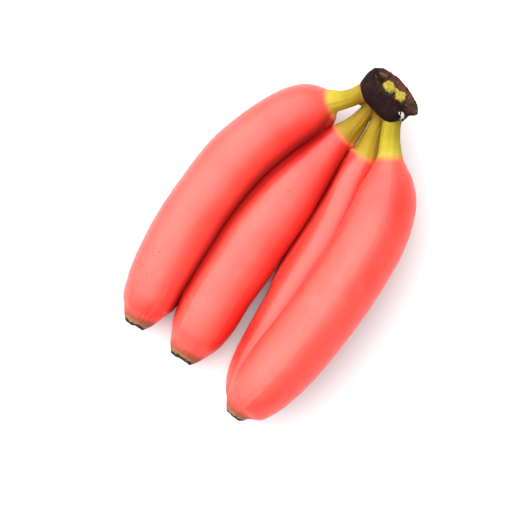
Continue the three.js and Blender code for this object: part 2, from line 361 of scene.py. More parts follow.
def painted_shade_mark(verts, other, reach):
    """Painted shade: 1 where the skin lies on the other finger, falling to 0 at reach mm from it."""
    gap, _, wall, beside = place_by(verts, other)
    reach = np.interp(verts[:, 1], SHADE_STATIONS, reach)
    return (1 - (np.clip((gap - wall) / reach, 0, 1)) ** SHADE_CURVE) * beside


def patch_mark(verts, patches):
    """1 in the middle of each patch, fading out around it."""
    return np.max([np.exp(-(np.linalg.norm(verts - np.array(spot), axis=1) / size) ** 2)
                   for spot, size in patches], axis=0)


# Where the crown sits on the stalks, because they brown towards its skin: its middle, mm, and how
# its long side is turned across the hand and its cut face tilted up.
CROWN_CENTRE = np.array([1.1, 89.7, 40.0])
CROWN_TURN = math.radians(-6)
CROWN_TILT = math.radians(28)
CROWN_LONG = np.array([math.cos(CROWN_TURN), math.sin(CROWN_TURN), 0])
CROWN_OUT = np.array([-math.sin(CROWN_TURN) * math.cos(CROWN_TILT),
                      math.cos(CROWN_TURN) * math.cos(CROWN_TILT), math.sin(CROWN_TILT)])
CROWN_UP = np.cross(CROWN_LONG, CROWN_OUT)
CROWN_HALF_WIDTH = 15.9     # mm
CROWN_HALF_HEIGHT = 9.6     # mm
# [share of the half width, distance below the middle], mm: the stalk side of the crown's skin.
CROWN_UNDERSIDE = np.array([(0, 11.0), (0.3, 10.8), (0.62, 10.4), (0.84, 9.0), (0.97, 6.2), (1.0, 0.5)])


def below_crown(verts):
    """Distance from the middle of the crown towards the stalks, mm."""
    return -(verts - CROWN_CENTRE) @ CROWN_OUT


def to_crown(verts):
    """Distance from the skin of the crown, mm."""
    away = verts - CROWN_CENTRE
    share = np.hypot(away @ CROWN_LONG / CROWN_HALF_WIDTH, away @ CROWN_UP / CROWN_HALF_HEIGHT)
    below = below_crown(verts) - np.interp(share, *CROWN_UNDERSIDE.T)
    return np.hypot(np.maximum(below, 0), np.maximum(share - 1, 0) * CROWN_HALF_HEIGHT)


fingers = {name: grow_finger(plan, seed) for seed, (name, plan) in enumerate(FINGERS.items())}
for name, neighbours in PRESSED_BY.items():
    for neighbour in neighbours:
        press_in(fingers[name], fingers[neighbour])
first, second, third, _ = fingers.values()
lean_on(first, second, start=40, full=54, widest=13.0, past_red=-1.4, fade=5.0)
lean_on(second, first, start=-75, full=-60, widest=3.6, past_red=-6.0)
lean_on(third, second, *TIP_GAP, widest=3.6, past_red=-6.0)
lean_on(third, second, start=46, full=54, widest=8.0, past_red=0.0)
lean_on(third, second, start=52, full=58, widest=8.0, past_red=14.0, most=0.35)
lean_on(second, third, start=52, full=58, widest=8.0, past_red=14.0, most=0.5)

# Painted shade between the fingers: for each point, how strongly a neighbour lies on it.
for name, neighbours in PAINTED_SHADE_REACH.items():
    finger = fingers[name]
    finger["shaded"] = np.max([painted_shade_mark(finger["verts"], fingers[other], reach) * depth
                               for other, (reach, depth) in neighbours.items()], axis=0)

stalk_trees = {name: stalk_points(finger) for name, finger in fingers.items()}
for name, finger in fingers.items():
    verts = finger["verts"]
    verts[:, 2] = np.maximum(verts[:, 2], TABLE_HEIGHT)
    on_stalk = finger["past_red"] > -STALK_MARGIN
    crowded = np.zeros(len(verts))
    others = [tree for other, tree in stalk_trees.items() if other != name]
    crowded[on_stalk] = crowded_mark(verts[on_stalk], others)
    finger["piece"] = make_piece(name + "_fruit", verts, finger["faces"], {
        "from_blossom": finger["reach"] * MM,
        "past_red": finger["past_red"] * MM,
        "to_crown": to_crown(verts) * MM,
        "straight": finger["straight"] * MM,
        "crest": finger["crest"],
        "scar": finger["in_scar"],
        "crowded": crowded,
        "shaded": finger["shaded"],
        "blemish": patch_mark(verts, BLEMISHES),
        "shade_patch": patch_mark(verts, SHADE_PATCHES),
        "olive_and_shade": np.full(len(verts), OLIVE_AND_SHADE_SHARE[name]),
    })
    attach(finger["piece"], "root")
    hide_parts(name)


class Paint:
    """A material under construction: nodes are added one at a time and joined as they come."""

    def __init__(self, name):
        self.material = bpy.data.materials.new(name)
        self.material.use_nodes = True
        self.tree = self.material.node_tree
        self.shader = self.tree.nodes["Principled BSDF"]
        self.place = self.add("ShaderNodeTexCoord").outputs["Object"]

    def add(self, kind, inputs=None, **settings):
        node = self.tree.nodes.new(kind)
        for key, value in settings.items():
            setattr(node, key, value)
        for socket, source in (inputs or {}).items():
            self.join(source, node.inputs[socket])
        return node

    def join(self, source, socket):
        if isinstance(source, bpy.types.NodeSocket):
            self.tree.links.new(source, socket)
        elif isinstance(source, tuple) and len(source) == 3 and socket.type == "RGBA":
            socket.default_value = (*source, 1)
        else:
            socket.default_value = source

    def mark(self, name, kind="Fac"):
        """What put_marks stored under this name."""
        return self.add("ShaderNodeAttribute", attribute_name=name).outputs[kind]

    def sum(self, first, second, operation="ADD"):
        return self.add("ShaderNodeMath", {0: first, 1: second}, operation=operation).outputs[0]

    def product(self, first, second):
        return self.sum(first, second, "MULTIPLY")

    def ramp(self, value, low, high, smallest=0.0, largest=1.0):
        """smallest up to low, largest from high on, eased between."""
        inputs = {"Value": value, "From Min": low, "From Max": high, "To Min": smallest, "To Max": largest}
        return self.add("ShaderNodeMapRange", inputs, interpolation_type="SMOOTHSTEP").outputs["Result"]

    def mix(self, share, first, second):
        """first where share is 0, second where it is 1."""
        # Its sockets 6 and 7 take colours, and 2 gives one.
        return self.add("ShaderNodeMix", {0: share, 6: first, 7: second}, data_type="RGBA").outputs[2]

    def over(self, under, colour, field, low, high, most=1.0):
        """What is under, covered with the colour where the field has passed from low to high."""
        return self.mix(self.ramp(field, low, high, 0.0, most), under, colour)

    def cloud(self, size, detail=2.0, where=None, stretch=None):
        """A noise whose grains are about size metres, around 0.5."""
        where = where or self.place
        if stretch:
            where = self.add("ShaderNodeMapping", {"Vector": where, "Scale": stretch}).outputs["Vector"]
        inputs = {"Vector": where, "Scale": 1 / size, "Detail": detail}
        return self.add("ShaderNodeTexNoise", inputs).outputs["Fac"]

    def dots(self, size, share):
        """1 in round dots, one to a cell of about size metres, that fill a share of its width."""
        inputs = {"Vector": self.place, "Scale": 1 / size}
        gap = self.add("ShaderNodeTexVoronoi", inputs).outputs["Distance"]
        return self.ramp(gap, share, share * 0.6)

    def relief(self, height, depth, under=None):
        """Bumps of this height in metres."""
        inputs = {"Height": height, "Distance": depth, "Strength": 1.0}
        if under:
            inputs["Normal"] = under
        return self.add("ShaderNodeBump", inputs).outputs["Normal"]

    def finished(self, colour, roughness, shine=0.5, relief=None):
        """The material, once all that its shader takes is known."""
        taken = {"Base Color": colour, "Roughness": roughness, "Specular IOR Level": shine}
        if relief:
            taken["Normal"] = relief
        for socket, value in taken.items():
            self.join(value, self.shader.inputs[socket])
        return self.material


# Colours are linear red, green and blue.
CORAL = (0.94, 0.062, 0.044)
CORAL_DEEP = (0.93, 0.050, 0.034)
CORAL_PALE = (0.95, 0.078, 0.060)
# Painted shade: the deeper red of the shade patches.
CORAL_SHADE_PATCH = (0.92, 0.020, 0.012)
# Painted shade: the dark red where a neighbouring finger lies on the skin.
CORAL_PAINTED_SHADE = (0.26, 0.003, 0.002)
CREST_PALE = (0.95, 0.130, 0.085)
STALK_YELLOW = (0.41, 0.31, 0.034)
STALK_GOLD = (0.345, 0.275, 0.014)
STALK_GREEN = (0.265, 0.200, 0.008)
STALK_OLIVE_AND_SHADE = (0.235, 0.140, 0.005)
STALK_BROWN = (0.11, 0.045, 0.002)
STALK_EDGE = (0.60, 0.105, 0.030)
STALK_DULL = (0.185, 0.110, 0.004)
STALK_ORANGE = (0.26, 0.125, 0.030)
RING_PALE = (0.26, 0.16, 0.080)
SCAR_BLACK = (0.008, 0.005, 0.002)
SCAR_BROWN = (0.020, 0.012, 0.004)
SPECK_BROWN = (0.16, 0.016, 0.009)
# The bands of colour, as the stretch over which each takes over: m past the end of the red skin.
EDGE_FROM = (-0.0016, 0.0012)
YELLOW_FROM = (-0.0002, 0.0036)
OLIVE_FROM = (-0.0010, 0.0040)
GOLD_FROM = (0.0045, 0.0100)
GREEN_FROM = (0.0090, 0.0170)
# The same, m from the crown.
DULL_FROM = (0.0090, 0.0025)
ORANGE_FROM = (0.0027, 0.0018)
# The same, m from the blossom end; the tan, orange and red of the ring are given with theirs.
RING_BANDS = [((0.26, 0.098, 0.030), 0.0020, 0.0032), ((0.25, 0.045, 0.012), 0.0032, 0.0048),
              ((0.35, 0.035, 0.014), 0.0046, 0.0064)]
RING_TO = (0.0104, 0.0058)
SCAR_TO = (0.0034, 0.0027)
CREST_TO = (0.048, 0.015)


def skin_strands(paint, size=0.0012, detail=3.0, squeeze=0.04):
    """Streaks along the fruit: a cloud that runs on lengthwise."""
    return paint.cloud(size, detail, paint.mark("straight", "Vector"), (1.0, squeeze, 1.0))


def stalk_colour(paint):
    """Bright yellow next to the red, gold and then olive further up, tan under the crown; the olive is
    partly painted shade.
    """
    uneven = paint.sum(paint.mark("past_red"), paint.product(paint.cloud(0.006), 0.005))
    skin = paint.over(STALK_YELLOW, STALK_GOLD, uneven, *GOLD_FROM)
    skin = paint.over(skin, STALK_GREEN, uneven, *GREEN_FROM)
    # Olive tone, which is partly painted shade on the stalks that lie in the others' shade.
    olive_and_shade = paint.product(paint.mark("olive_and_shade"), paint.ramp(uneven, *OLIVE_FROM))
    skin = paint.mix(olive_and_shade, skin, STALK_OLIVE_AND_SHADE)
    broad = skin_strands(paint, 0.0026, 2.0, 0.07)
    skin = paint.over(skin, STALK_BROWN, broad, 0.52, 0.72, 0.16)
    fine = skin_strands(paint, squeeze=0.05)
    skin = paint.over(skin, STALK_YELLOW, fine, 0.52, 0.76, 0.30)
    # Darker brown where another stalk comes near.
    skin = paint.mix(paint.product(paint.mark("crowded"), 0.60), skin, STALK_BROWN)
    seam = paint.sum(paint.mark("to_crown"), paint.product(paint.cloud(0.003), 0.002))
    skin = paint.over(skin, STALK_DULL, seam, *DULL_FROM, 0.85)
    return paint.over(skin, STALK_ORANGE, seam, *ORANGE_FROM, 0.8)


def edge_of_red(paint):
    """Distance past the end of the red skin, with the waves of the real border."""
    waves = paint.cloud(0.0035, 3.0, paint.mark("straight", "Vector"))
    return paint.sum(paint.mark("past_red"), paint.product(waves, 0.0018))


def ripe_red(paint, reach, strand):
    """The coral skin with its clouds, pale crests and brown specks, deeper red patches of painted shade,
    and painted shade where the fingers lie on each other.
    """
    red = paint.over(CORAL_DEEP, CORAL, paint.cloud(0.030), 0.32, 0.68)
    red = paint.over(red, CORAL_PALE, paint.cloud(0.009, 4.0), 0.48, 0.76, 0.50)
    red = paint.over(red, CORAL_DEEP, paint.cloud(0.0032, 3.0), 0.50, 0.80, 0.40)
    red = paint.over(red, CORAL_PALE, strand, 0.5, 0.8, 0.25)
    red = paint.over(red, CORAL_DEEP, paint.cloud(0.0009, 2.0), 0.5, 0.8, 0.35)
    # Painted shade: deeper red patches where the skin lies in shade.
    red = paint.mix(paint.product(paint.mark("shade_patch"), 0.8), red, CORAL_SHADE_PATCH)
    crest = paint.product(paint.mark("crest"), paint.ramp(reach, *CREST_TO))
    crest = paint.product(crest, paint.ramp(paint.cloud(0.006), 0.36, 0.56))
    red = paint.mix(paint.product(crest, 0.45), red, CREST_PALE)
    specks = paint.product(paint.dots(0.0024, 0.36), paint.ramp(paint.mark("blemish"), 0.15, 0.6))
    specks = paint.product(specks, paint.ramp(paint.cloud(0.0035, 1.0), 0.45, 0.55))
    strays = paint.product(paint.dots(0.007, 0.060), paint.ramp(paint.cloud(0.02, 1.0), 0.5, 0.6))
    red = paint.mix(paint.product(paint.sum(specks, strays, "MAXIMUM"), 0.75), red, SPECK_BROWN)
    # Painted shade where a neighbouring finger lies on the skin.
    return paint.mix(paint.mark("shaded"), red, CORAL_PAINTED_SHADE)


def paint_fruit():
    paint = Paint("red_banana_skin")
    reach = paint.mark("from_blossom")
    strand = skin_strands(paint)
    edge = edge_of_red(paint)
    skin = paint.over(ripe_red(paint, reach, strand), STALK_EDGE, edge, *EDGE_FROM)
    skin = paint.over(skin, stalk_colour(paint), edge, *YELLOW_FROM)

    bark = skin_strands(paint, 0.0016, squeeze=0.45)
    waves = paint.cloud(0.0030, 3.0, paint.mark("straight", "Vector"))
    soft = paint.sum(reach, paint.product(waves, 0.0026))
    ring = RING_PALE
    for colour, low, high in RING_BANDS:
        ring = paint.over(ring, colour, soft, low, high)
    ring = paint.over(ring, RING_PALE, bark, 0.50, 0.75, 0.40)
    ringed = paint.ramp(soft, *RING_TO)
    skin = paint.mix(ringed, skin, ring)
    burnt = paint.ramp(paint.sum(reach, paint.product(paint.cloud(0.0022, 2.0), 0.0034)), *SCAR_TO)
    black = paint.sum(paint.mark("scar"), burnt, "MAXIMUM")
    skin = paint.mix(black, skin, SCAR_BLACK)

    rough = paint.ramp(paint.cloud(0.0035, 3.0), 0.3, 0.7, 0.36, 0.41)
    dull = paint.sum(paint.product(ringed, 0.30), paint.ramp(edge, -0.0010, 0.0016, 0.0, 0.24))
    dull = paint.sum(dull, paint.product(black, 0.4))
    pores = paint.relief(paint.cloud(0.0007, 2.0), 0.00005)
    grain = paint.relief(strand, 0.00008, pores)
    woody = paint.relief(paint.product(bark, ringed), 0.0004, grain)
    return paint.finished(skin, paint.sum(rough, dull), relief=woody)


def paint_stalk():
    """The dull, fibrous skin of the stalks and of the neck that they grow into."""
    paint = Paint("stalk_skin")
    yellow = paint.ramp(edge_of_red(paint), *YELLOW_FROM)
    colour = paint.mix(yellow, STALK_EDGE, stalk_colour(paint))
    pores = paint.relief(paint.cloud(0.0012, 3.0), 0.00010)
    grain = paint.relief(skin_strands(paint), 0.00008, pores)
    return paint.finished(colour, 0.62, 0.18, grain)


def paint_scar():
    """The charred-looking, dead-matt end where the flower sat."""
    paint = Paint("blossom_scar")
    return paint.finished(paint.mix(paint.cloud(0.0015), SCAR_BLACK, SCAR_BROWN), 0.95, 0.1)


skins = [paint_fruit(), paint_stalk(), paint_scar()]
FRUIT, STALK, SCAR = range(3)
for finger in fingers.values():
    for skin in skins:
        finger["piece"].data.materials.append(skin)
    on_face = {key: finger[key][finger["faces"]].mean(axis=1) for key in ("reach", "past_red", "in_scar")}
    worn = np.where(on_face["past_red"] > STALK_SKIN_FROM, STALK, FRUIT)
    worn[(on_face["reach"] < SCAR_SKIN_TO) | (on_face["in_scar"] > 0.5)] = SCAR
    finger["piece"].data.polygons.foreach_set("material_index", worn)

# ----------------------------------------------------------------------
# The neck under the crown: the last of the stalks, grown together. It is the same yellow-green
# skin, swollen and browned where it meets the crown, with a web of tissue between the stalks.

NECK_REACH = 15.0           # mm from its root that the swelling of a stalk starts
NECK_SWELL = 1.0            # mm it stands out at the crown
NECK_SUNK = 0.35            # mm it starts inside the stalk's skin
NECK_RINGS = 14
NECK_INSET = 6              # frames of the middle line it stops short of the root
NECK_COLUMNS = 28
NECK_VOXEL = 0.55           # mm
NECK_CROWDED = (1.2, 4.2)   # mm between two stalks: darkest brown at the first, plain from the second
# Two stalks, how far the web between them reaches from their roots, and its radius there, mm.
WEBS = [("finger_1", "finger_2", 11.5, 3.6), ("finger_2", "finger_3", 9.0, 2.8),
        ("finger_3", "finger_4", 9.0, 2.8)]
WEB_RINGS = 8


def tapered_tube(spots, radii):
    """A closed tube along the spots, as points and faces."""
    spots = np.array(spots)
    along = unit(np.gradient(spots, axis=0))
    side = unit(np.cross(along, (0.0, 0.0, 1.0)))
    up = np.cross(side, along)
    angle = np.linspace(0, 2 * math.pi, NECK_COLUMNS, endpoint=False)
    ring = side[:, None] * np.cos(angle)[None, :, None] + up[:, None] * np.sin(angle)[None, :, None]
    verts = (spots[:, None] + ring * np.array(radii)[:, None, None]).reshape(-1, 3)
    faces = grid_faces(len(spots), NECK_COLUMNS).tolist()
    faces.append(list(range(NECK_COLUMNS)))
    faces.append(list(range(len(verts) - NECK_COLUMNS, len(verts)))[::-1])
    return verts, faces


def stalk_end(finger):
    """The last stretch of a stalk as a tube that starts just inside its skin and swells."""
    line = finger["line"]
    first_frame = int(LINE_STEPS * (1 - NECK_REACH / line["length"]))
    picks = np.linspace(first_frame, LINE_STEPS - NECK_INSET, NECK_RINGS).astype(int)
    radius = np.interp(picks / LINE_STEPS * line["length"], *finger["flank"].T)
    share = np.linspace(0, 1, NECK_RINGS)
    return line["spots"][picks], radius - NECK_SUNK + (NECK_SWELL + NECK_SUNK) * share ** 1.5


def web_between(stalks, reach, radius):
    """A wedge of tissue between two stalks, thickest at the crown."""
    ends = []
    for stalk in stalks:
        line = stalk["line"]
        marks = np.linspace(0, line["length"], LINE_STEPS + 1)
        spots = line["length"] - np.linspace(reach, 1.0, WEB_RINGS)
        ends.append(np.stack([np.interp(spots, marks, line["spots"][:, k]) for k in range(3)], axis=1))
    return 0.5 * (ends[0] + ends[1]), radius * np.linspace(0.25, 1, WEB_RINGS)


def all_tubes(tubes):
    """The points and the faces of several tubes in one list each."""
    verts = []
    faces = []
    for tube_verts, tube_faces in tubes:
        faces += [[corner + len(verts) for corner in face] for face in tube_faces]
        verts += tube_verts.tolist()
    return np.array(verts), faces


def join_tubes(name, tubes, voxel):
    """One closed skin over all the tubes."""
    piece = make_piece(name, *all_tubes(tubes), {})
    rough = piece.data
    remesh = piece.modifiers.new("join", "REMESH")
    remesh.mode = "VOXEL"
    remesh.voxel_size = voxel * MM
    smooth = piece.modifiers.new("soften", "SMOOTH")
    smooth.factor = 0.5
    smooth.iterations = 6
    joined = bpy.data.meshes.new_from_object(piece.evaluated_get(bpy.context.evaluated_depsgraph_get()))
    piece.modifiers.clear()
    piece.data = joined
    bpy.data.meshes.remove(rough)
    joined.shade_smooth()
    return piece


tubes = [tapered_tube(*stalk_end(finger)) for finger in fingers.values()]
for one, other, reach, radius in WEBS:
    tubes.append(tapered_tube(*web_between([fingers[one], fingers[other]], reach, radius)))
neck = join_tubes("stalk_neck", tubes, NECK_VOXEL)
neck_verts = np.array([tuple(vertex.co) for vertex in neck.data.vertices]) / MM


def marks_of_nearest_stalk(verts):
    """For each point, the marks of the nearest point of a stalk, and how near the next stalk is."""
    marks = {"straight": [], "past_red": [], "crowded": [], "olive_and_shade": []}
    for vert in verts:
        found = sorted((tree.find(vert)[2], tree.find(vert)[1], name) for name, tree in stalk_trees.items())
        (_, index, name), (next_gap, _, _) = found[:2]
        for key in ("straight", "past_red"):
            marks[key].append(fingers[name][key][index] * MM)
        marks["crowded"].append(1 - smoothstep(next_gap, *NECK_CROWDED))
        nearness = [1 / (0.3 + gap) ** 2 for gap, _, _ in found]
        marks["olive_and_shade"].append(np.average([OLIVE_AND_SHADE_SHARE[stalk] for _, _, stalk in found], weights=nearness))
    return {name: np.array(values) for name, values in marks.items()}


put_marks(neck.data, {**marks_of_nearest_stalk(neck_verts), "to_crown": to_crown(neck_verts) * MM})
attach(neck, "root")
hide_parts("crown")
neck.data.materials.append(skins[STALK])

# ----------------------------------------------------------------------
# The crown: the cushion of stem that the stalks grow from, cut through when the hand was taken
# off the bunch. Its skin has dried purple-black. The cut has shrunk into a hollow with a torn
# reddish-brown lip, drawn out to an ear at one end, and two lumps of yellow flesh stand in it.

# [share of the half width, distance along the axis], mm: from the middle of the stalk side, over
# the skin and the lip, to the middle of the hollow.
CROWN_PROFILE = [(share, -below) for share, below in CROWN_UNDERSIDE]
CROWN_PROFILE += [(0.98, 3.4), (0.945, 5.3), (0.90, 5.9), (0.86, 5.4), (0.82, 4.2), (0.76, 3.1),
                  (0.64, 2.6), (0.4, 2.3), (0, 2.2)]
CROWN_LIP = 8               # the profile point at the edge of the lip
CROWN_COLUMNS = 336
CROWN_ROWS_PER_STEP = 15
CROWN_SLANT = 0.17          # the lower lip stands out further by this share of the height
CROWN_SKEW = 0.8            # mm that the stalk side stands back at one end
LIP_DEPTH = 5.0             # mm
SHOULDER_TURN = 42.0        # degrees, where the skin swells over the fourth stalk
SHOULDER_WIDTH = 24.0       # degrees
SHOULDER_HEIGHT = 3.4       # mm
EAR_TURN = 14.0             # degrees
EAR_WIDTH = 20.0            # degrees
EAR_REACH = 0.27
# The lip's dips and swells: how far it stands out, mm, where round the crown, and how wide, degrees.
LIP_WAVES = [(-2.4, 112, 38), (-2.6, 42, 11), (0.9, -105, 35), (0.7, 172, 16)]
# In the hollow: across and up from its middle, half width, half height and, but for the pits, how
# far it stands out, mm.
FLESH_LUMPS = [(-2.4, -1.5, 4.0, 5.8, 1.9), (5.7, -2.0, 3.4, 5.2, 1.8), (1.7, -4.2, 2.6, 1.9, 1.2)]
PALE_STRIP = (-9.4, -5.0, 3.0, 2.0, 0.4)
PITS = [(-7.6, -2.6, 2.6, 3.0), (11.6, 2.5, 2.8, 4.2)]
PIT_DEPTH = 1.6             # mm


def patch(across, height, plan):
    """1 in the middle of an oval patch, 0 at its edge and less outside."""
    middle_across, middle_height, half_across, half_height = plan[:4]
    return 1 - np.hypot((across - middle_across) / half_across, (height - middle_height) / half_height)


def bump_at(angle, centre, width):
    """1 at an angle round the crown, in degrees, falling off over width."""
    off = (np.degrees(angle) - centre + 180) % 360 - 180
    return np.exp(-(off / width) ** 2)


def grid_noise(places, size, seed):
    """slow_noise at each point of a grid."""
    return slow_noise(np.stack(places, axis=-1).reshape(-1, 3), size, seed).reshape(places[0].shape)


def grow_crown():
    """The crown's points, mm, its faces and its marks."""
    profile = curve_through(np.array(CROWN_PROFILE, float), CROWN_ROWS_PER_STEP)
    mean_half = 0.5 * (CROWN_HALF_WIDTH + CROWN_HALF_HEIGHT)
    step = np.linalg.norm(np.diff(profile * (mean_half, 1), axis=0), axis=1)
    reached = np.r_[0, np.cumsum(step)]
    past_lip = reached - reached[CROWN_LIP * CROWN_ROWS_PER_STEP]
    angle = np.linspace(0, 2 * math.pi, CROWN_COLUMNS, endpoint=False)
    share, turned = np.meshgrid(np.maximum(profile[:, 0], 0.001), angle, indexing="ij")
    along = np.repeat(profile[:, 1][:, None], CROWN_COLUMNS, axis=1)
    inward = np.repeat(past_lip[:, None], CROWN_COLUMNS, axis=1)
    x = share * np.cos(turned)
    z = share * np.sin(turned)
    lip = smoothstep(along, 0, LIP_DEPTH)
    drawn = 1 + EAR_REACH * lip * bump_at(turned, EAR_TURN, EAR_WIDTH)
    pushed = lip * CROWN_SLANT * CROWN_HALF_HEIGHT * z + (1 - lip) * CROWN_SKEW * x
    across = x * drawn * CROWN_HALF_WIDTH
    height = z * drawn * CROWN_HALF_HEIGHT
    along = along - pushed
    shoulder = bump_at(turned, SHOULDER_TURN, SHOULDER_WIDTH) * smoothstep(share, 0.3, 0.8)
    shoulder *= 1 - smoothstep(inward, -7.0, -2.0)
    height += SHOULDER_HEIGHT * shoulder
    along += 0.4 * SHOULDER_HEIGHT * shoulder

    flat = np.zeros(turned.shape)
    around = (np.cos(turned), np.sin(turned), flat)
    edge = np.exp(-(inward / 3.5) ** 2)
    tatter = 0.9 * grid_noise(around, 0.55, 1) + 0.5 * grid_noise(around, 0.16, 2)
    tatter += 0.3 * grid_noise(around, 0.06, 3)
    along += edge * tatter * (1 - 0.6 * smoothstep(-height, 0.0, 3.0))
    for rise, turn, width in LIP_WAVES:
        along += edge * rise * bump_at(turned, turn, width)

    face = smoothstep(inward, 2.0, 5.5)
    spots = (across, height, flat)
    rough = 0.28 * grid_noise(spots, 1.8, 4) + 0.14 * grid_noise(spots, 0.7, 5)
    field = np.max([patch(across, height, plan) for plan in FLESH_LUMPS], axis=0) + 0.7 * rough
    flesh = smoothstep(field, 0.0, 0.10) * smoothstep(inward, 1.6, 3.2)
    lumps = [smoothstep(patch(across, height, plan) + 0.5 * rough, -0.05, 0.32) * plan[4]
             for plan in FLESH_LUMPS]
    pits = [smoothstep(patch(across, height, plan) + rough, 0.0, 0.4) for plan in PITS]
    pit = np.max(pits, axis=0) * face
    strip_edge = np.exp(-((inward - 2.7) / 0.6) ** 2)
    pale = smoothstep(patch(across, height, PALE_STRIP) + rough, 0.0, 0.25) * strip_edge
    along += np.max(lumps, axis=0) * smoothstep(inward, 2.0, 4.5) - pit * PIT_DEPTH
    along += pale * PALE_STRIP[4] + face * 0.5 * grid_noise(spots, 1.1, 6)

    verts = (CROWN_CENTRE + across[..., None] * CROWN_LONG + along[..., None] * CROWN_OUT
             + height[..., None] * CROWN_UP)
    down_rows = np.gradient(verts, axis=0)
    round_columns = np.roll(verts, -1, axis=1) - np.roll(verts, 1, axis=1)
    normal = np.cross(round_columns, down_rows)
    normal /= np.maximum(np.linalg.norm(normal, axis=2), 1e-9)[..., None]
    bark = 0.34 * grid_noise((across / 4.5, along / 6.0, height / 4.5), 1.0, 7)
    bark += 0.14 * grid_noise((across / 1.3, along / 7.0, height / 1.3), 1.0, 8)
    bark += edge * 0.3 * grid_noise(around, 0.045, 9)
    verts = verts + normal * (bark * smoothstep(share, 0.02, 0.2) * (1 - 0.6 * flesh))[..., None]
    low_lip = smoothstep(inward, -1.6, 0.2) * smoothstep(-height, 1.0, 4.5) * (1 - flesh)
    ear = smoothstep(inward, -5.0, -1.0) * bump_at(turned, EAR_TURN, EAR_WIDTH * 0.9)
    marks = {"past_lip": inward * MM, "flesh": flesh, "flesh_depth": field, "pit": pit, "pale": pale,
             "lip": np.clip(low_lip + ear, 0, 1), "below_crown": below_crown(verts) * MM}
    faces = grid_faces(len(profile), CROWN_COLUMNS)[:, ::-1]
    return verts.reshape(-1, 3), faces, {name: values.ravel() for name, values in marks.items()}


crown = make_piece("crown_cushion", *grow_crown())
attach(crown, "root")
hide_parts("crown")

BARK_PURPLE = (0.0125, 0.0024, 0.0032)
BARK_DARK = (0.0060, 0.0014, 0.0017)
BARK_WORN = (0.027, 0.006, 0.005)
BARK_EDGE = (0.17, 0.070, 0.012)
CUT_DARK = (0.014, 0.008, 0.0035)
CUT_BROWN = (0.042, 0.022, 0.006)
LIP_RED = (0.080, 0.025, 0.018)
# Painted highlight: the pale pink of glints on the lip.
LIP_PAINTED_GLINT = (0.24, 0.11, 0.092)
LIP_DARK = (0.020, 0.006, 0.004)
FLESH_YELLOW = (0.34, 0.26, 0.022)
FLESH_PALE = (0.38, 0.31, 0.060)
FLESH_BROWN = (0.11, 0.065, 0.008)
FIBRE_BEIGE = (0.20, 0.15, 0.090)
BARK_EDGE_FROM = (0.0095, 0.0112)   # m from the crown's middle towards the stalks
CUT_FROM = (-0.0004, 0.0008)        # m past the lip
FLESH_RIM = (0.22, 0.02)            # from the clean flesh to its browned rim


def paint_crown():
    paint = Paint("crown_bark")
    grain = paint.cloud(0.0016, 4.0, stretch=(1.0, 0.3, 0.6))
    bark = paint.over(BARK_DARK, BARK_PURPLE, paint.cloud(0.006, 3.0), 0.35, 0.65)
    bark = paint.over(bark, BARK_WORN, grain, 0.55, 0.8, 0.6)
    seam = paint.sum(paint.mark("below_crown"), paint.product(paint.cloud(0.003), 0.002))
    bark = paint.over(bark, BARK_EDGE, seam, *BARK_EDGE_FROM, 0.9)
    cut = paint.over(CUT_DARK, CUT_BROWN, paint.cloud(0.0014, 3.0), 0.45, 0.7)
    colour = paint.over(bark, cut, paint.mark("past_lip"), *CUT_FROM)
    lip = paint.over(LIP_DARK, LIP_RED, grain, 0.35, 0.6)
    # Painted highlights: pale specks that stand in for glints on the lip.
    lip = paint.over(lip, LIP_PAINTED_GLINT, paint.cloud(0.0009, 3.0), 0.55, 0.75, 0.7)
    colour = paint.mix(paint.mark("lip"), colour, lip)
    colour = paint.mix(paint.product(paint.mark("pale"), 0.7), colour, FIBRE_BEIGE)
    flesh = paint.over(FLESH_YELLOW, FLESH_PALE, paint.cloud(0.0010, 2.0), 0.4, 0.65)
    flesh = paint.over(flesh, FLESH_BROWN, paint.mark("flesh_depth"), *FLESH_RIM, 0.85)
    colour = paint.mix(paint.mark("flesh"), colour, flesh)
    colour = paint.mix(paint.mark("pit"), colour, CUT_DARK)
    rough = paint.ramp(grain, 0.3, 0.7, 0.6, 0.85)
    fine = paint.relief(paint.cloud(0.0007, 3.0), 0.00012)
    return paint.finished(colour, rough, 0.12, paint.relief(grain, 0.0004, fine))


crown.data.materials.append(paint_crown())

# ----------------------------------------------------------------------
# The torn fibres of the crown: strings of the stem that pulled out of the cut when it was torn
# off, dried pale. They stand in the notch of the lip and along the edge of the hollow.

NOTCH_FIBRES = 15           # the tuft in the notch of the lip
HOLLOW_FIBRES = 13          # single ones round the hollow
FIBRE_RINGS = 9
FIBRE_WHITE = (0.66, 0.61, 0.48)
FIBRE_BROWN = (0.10, 0.065, 0.028)
FIBRE_THICK = 0.26          # mm
FIBRE_CURL = 0.35           # how far it bends aside, as a share of half its length
NOTCH_PLACE = np.array([13.8, 84.8, 0.0])
NOTCH_SPREAD = 1.1          # mm
NOTCH_LEAN = np.array([0.7, -0.3, 0.6])
NOTCH_LEAN_SPREAD = 0.5
NOTCH_THICKER = 1.7         # times as thick as the others
ROOT_SEARCH = 0.7           # mm, how far around a root the crown's skin is looked for
ROOT_SINK = 0.2             # mm
HOLLOW_HALF_WIDTH = 12.9    # mm
HOLLOW_HALF_HEIGHT = 7.9    # mm
rng = np.random.default_rng(7)
crown_skin = np.array([vert.co[:] for vert in crown.data.vertices]) / MM


def torn_fibre(root, lean, length, thick):
    """A short string that leaves its root along lean, curls a little and thins out."""
    share = np.linspace(0, 1, FIBRE_RINGS)[:, None]
    curl = rng.normal(0, FIBRE_CURL, 3)
    spots = root + unit(lean) * length * share + curl * length * 0.5 * share ** 2
    return tapered_tube(spots, thick * (1 - 0.75 * share[:, 0]))


